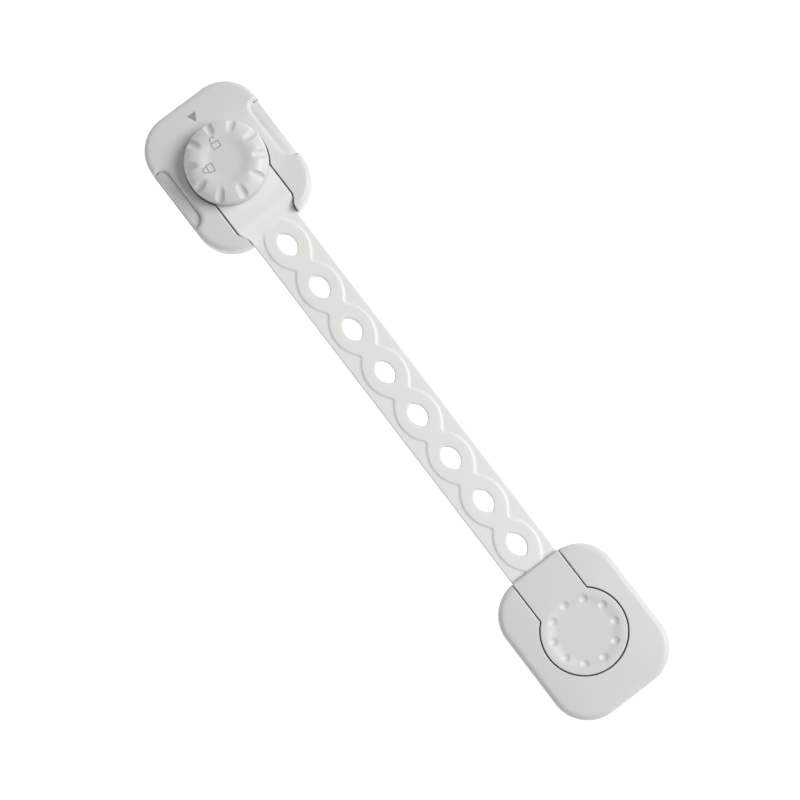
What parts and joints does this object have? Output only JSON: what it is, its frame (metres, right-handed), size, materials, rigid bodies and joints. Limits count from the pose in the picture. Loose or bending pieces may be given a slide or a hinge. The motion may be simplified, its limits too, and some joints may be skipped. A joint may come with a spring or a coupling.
{
  "type": "cabinet safety lock",
  "caption": "Stick-on cabinet safety lock: a pierced flexible strap joins an anchor unit to a lock unit with a turning knob and two side release buttons.",
  "frame": {"origin": "centre of the whole lock in plan, on the plane of the two adhesive faces", "axes": "+X along the strap from the lock unit to the anchor unit, +Y across it, +Z away from the furniture"},
  "size_m": [0.2344, 0.0412, 0.0176],
  "materials": {
    "body_plastic": "moulded ABS, fine satin, greyish white",
    "core_plastic": "moulded acetal, slightly waxy",
    "strap_rubber": "moulded thermoplastic rubber, milky white, slightly translucent",
    "pad_foam": "closed-cell foam with adhesive on both faces",
    "screw_steel": "zinc-plated",
    "spring_steel": "drawn spring wire and strip, bright"
  },
  "bodies": {
    "lock_base": {"lock_pad": "pad_foam", "lock_plate": "body_plastic", "lock_housing": "body_plastic", "lock_screws": "screw_steel", "spring_left_rear": "spring_steel", "spring_left_front": "spring_steel", "spring_right_rear": "spring_steel", "spring_right_front": "spring_steel"},
    "button_left": {"button_left": "body_plastic"},
    "button_right": {"button_right": "body_plastic"},
    "strap": {"strap": "strap_rubber", "head_core": "core_plastic", "anchor_pad": "pad_foam", "anchor_plate": "body_plastic", "anchor_housing": "body_plastic", "anchor_screws": "screw_steel"},
    "knob": {"knob": "body_plastic", "latch_bar": "core_plastic", "stem_screw": "screw_steel", "spring_washer": "spring_steel"},
    "anchor_cap": {"anchor_cap": "body_plastic"}
  },
  "joints": [
    {"name": "button_left_press", "type": "slide", "parent": "lock_base", "child": "button_left", "axis": [0, -1, 0], "range_m": [0, 0.0022], "stiffness_N_per_m": 3900, "springref_m": -0.0005, "deforming": ["spring_left_rear", "spring_left_front"]},
    {"name": "button_right_press", "type": "slide", "parent": "lock_base", "child": "button_right", "axis": [0, 1, 0], "range_m": [0, 0.0022], "stiffness_N_per_m": 3900, "springref_m": -0.0005, "deforming": ["spring_right_rear", "spring_right_front"]},
    {"name": "head_release", "type": "slide", "parent": "lock_base", "child": "strap", "axis": [0, 0, 1], "range_m": [0, 0.025]},
    {"name": "knob_turn", "type": "hinge", "parent": "strap", "child": "knob", "pos_m": [-0.0922, 0, 0.0102], "axis": [0, 0, 1], "range_deg": [-78, 0]},
    {"name": "anchor_cap_pull", "type": "slide", "parent": "strap", "child": "anchor_cap", "axis": [0, 0, 1], "range_m": [0, 0.012]}
  ]
}
